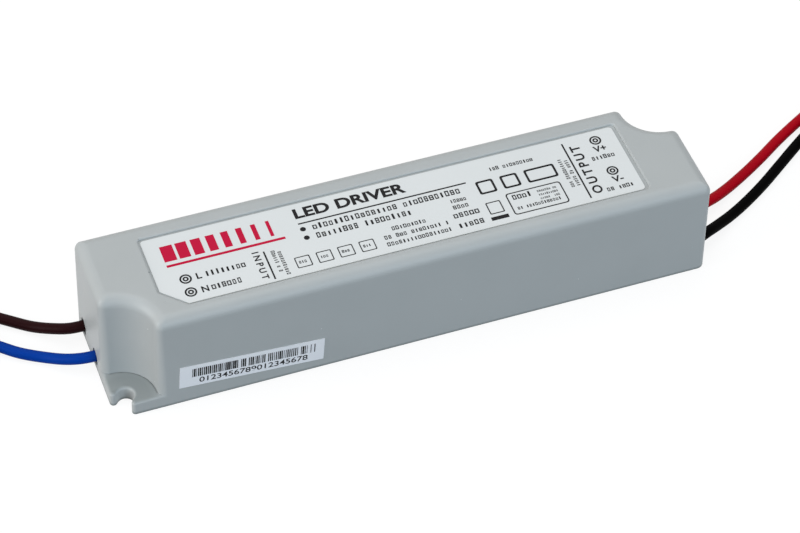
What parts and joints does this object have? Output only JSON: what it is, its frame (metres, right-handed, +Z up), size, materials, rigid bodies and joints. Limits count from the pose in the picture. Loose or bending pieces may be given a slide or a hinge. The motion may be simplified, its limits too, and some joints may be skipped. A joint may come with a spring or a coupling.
{
  "type": "led driver",
  "caption": "Sealed grey plastic LED driver: a slim potted case with a screw ear in opposite corners, a rating label on top and loose supply and output leads at its ends.",
  "frame": {"origin": "middle of the underside of the case", "axes": "+X along the case from the supply leads to the output leads, +Y to the back, +Z up"},
  "size_m": [0.2697, 0.0441, 0.0254],
  "materials": {
    "case_plastic": "satin moulded grey",
    "base_plastic": "matt moulded grey",
    "potting_resin": "dull dark resin",
    "label_film": "satin printed film",
    "sticker_paper": "matt printed paper",
    "board_laminate": "solder resist",
    "solder": "bright solder",
    "fuse_ceramic": "matt",
    "blue_epoxy": "dipped epoxy",
    "dark_epoxy": "dipped epoxy",
    "yellow_film_box": "moulded box",
    "green_ferrite": "coated ferrite",
    "enamelled_copper": "enamelled wire",
    "black_epoxy": "moulded epoxy",
    "capacitor_sleeve": "shrunk sleeve",
    "heat_sink_aluminium": "plain",
    "grey_ferrite": "matt ferrite",
    "bobbin_phenolic": "moulded phenolic",
    "winding_tape": "polyester tape",
    "resistor_body": "lacquered",
    "brown_pvc": "satin PVC",
    "blue_pvc": "satin PVC",
    "red_pvc": "satin PVC",
    "black_pvc": "satin PVC",
    "tinned_copper": "tinned strands",
    "tie_plastic": "plastic-covered wire"
  },
  "bodies": {
    "root": {"case": "case_plastic", "base_plate": "base_plastic", "potting": "potting_resin", "rating_label": "label_film", "serial_label": "sticker_paper", "circuit_board": "board_laminate", "solder_joints": "solder", "fuse": "fuse_ceramic", "varistor": "blue_epoxy", "thermistor": "dark_epoxy", "filter_capacitor": "yellow_film_box", "choke_core": "green_ferrite", "choke_windings": "enamelled_copper", "bridge_rectifier": "black_epoxy", "bulk_capacitor": "capacitor_sleeve", "primary_heat_sink": "heat_sink_aluminium", "switch_transistor": "black_epoxy", "controller_chip": "black_epoxy", "transformer_core": "grey_ferrite", "transformer_bobbin": "bobbin_phenolic", "transformer_winding": "winding_tape", "optocoupler": "black_epoxy", "safety_capacitor": "blue_epoxy", "output_heat_sink": "heat_sink_aluminium", "output_rectifier": "black_epoxy", "output_capacitors": "capacitor_sleeve", "output_choke": "grey_ferrite", "resistors": "resistor_body", "brown_lead": "brown_pvc", "blue_lead": "blue_pvc", "red_lead": "red_pvc", "black_lead": "black_pvc", "brown_coil": "brown_pvc", "blue_coil": "blue_pvc", "red_coil": "red_pvc", "black_coil": "black_pvc", "brown_core": "tinned_copper", "blue_core": "tinned_copper", "red_core": "tinned_copper", "black_core": "tinned_copper", "input_tie": "tie_plastic", "output_tie": "tie_plastic"}
  },
  "joints": []
}
